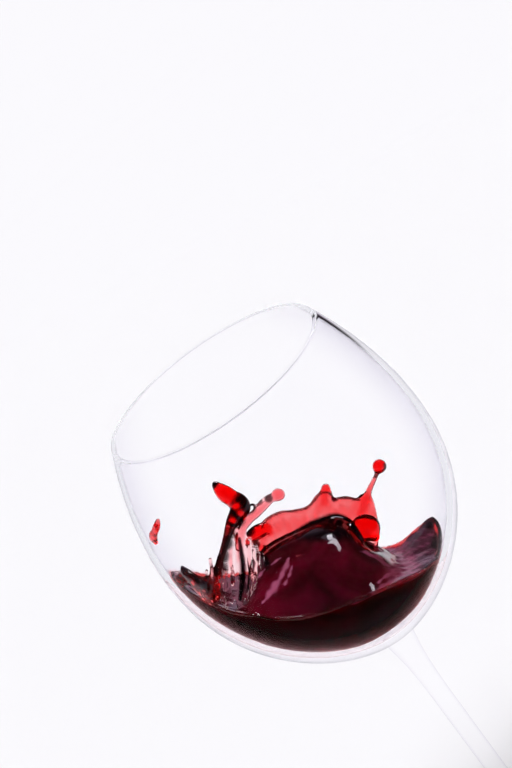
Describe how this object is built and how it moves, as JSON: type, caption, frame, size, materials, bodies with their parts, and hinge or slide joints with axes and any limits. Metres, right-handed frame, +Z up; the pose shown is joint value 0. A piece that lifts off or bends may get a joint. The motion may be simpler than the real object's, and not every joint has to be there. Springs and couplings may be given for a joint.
{
  "type": "glass of red wine",
  "caption": "Clear stemmed wine glass with a wide round bowl, holding red wine frozen in a slosh, with a dome, fingers and a flying drop.",
  "frame": {"origin": "centre of the foot's underside", "axes": "+Z up the stem toward the rim, +X toward the side that the wine has left, -Y toward the shown front"},
  "size_m": [0.1, 0.1, 0.2053],
  "materials": {
    "clear_glass": "clear, smooth",
    "red_wine": "liquid, glossy"
  },
  "bodies": {
    "root": {"glass": "clear_glass", "wine": "red_wine", "wine_drop": "red_wine"}
  },
  "joints": []
}
